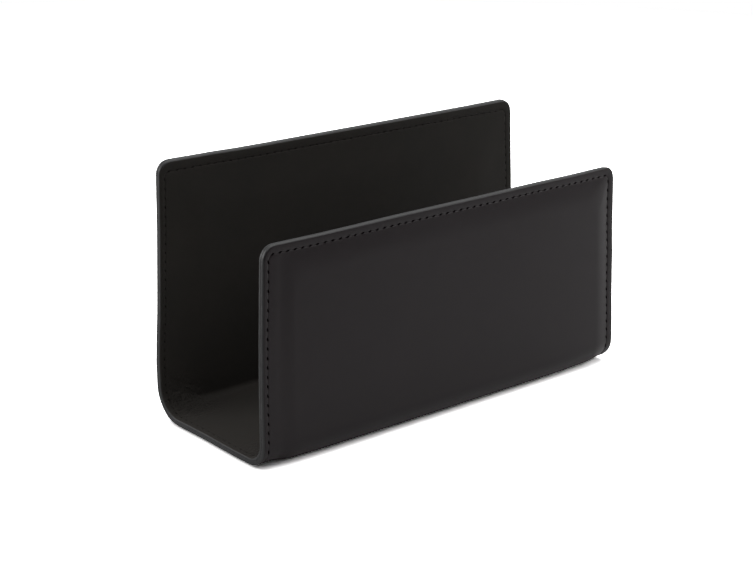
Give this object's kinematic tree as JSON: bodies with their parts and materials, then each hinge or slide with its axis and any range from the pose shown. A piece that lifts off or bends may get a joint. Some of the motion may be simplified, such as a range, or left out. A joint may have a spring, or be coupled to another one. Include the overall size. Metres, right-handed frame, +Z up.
{
  "type": "letter holder",
  "caption": "Desk letter holder: a sheet of two leathers sewn round a bent steel plate, with a low front wall, a tall back wall and open ends.",
  "frame": {"origin": "on the surface that the holder stands on, under the middle of the base", "axes": "+X along the holder's length, +Y from the low front wall to the tall back wall, +Z up"},
  "size_m": [0.218, 0.0826, 0.122],
  "materials": {
    "outer_leather": "smooth black cowhide with a fine grain, painted edges",
    "lining_leather": "smooth black cowhide, a little duller than the outside",
    "core_steel": "plain mild steel sheet, hidden inside",
    "seam_thread": "waxed black polyester thread"
  },
  "bodies": {
    "root": {"outer_cover": "outer_leather", "inner_lining": "lining_leather", "core_plate": "core_steel", "outer_thread": "seam_thread", "inner_thread": "seam_thread"}
  },
  "joints": []
}
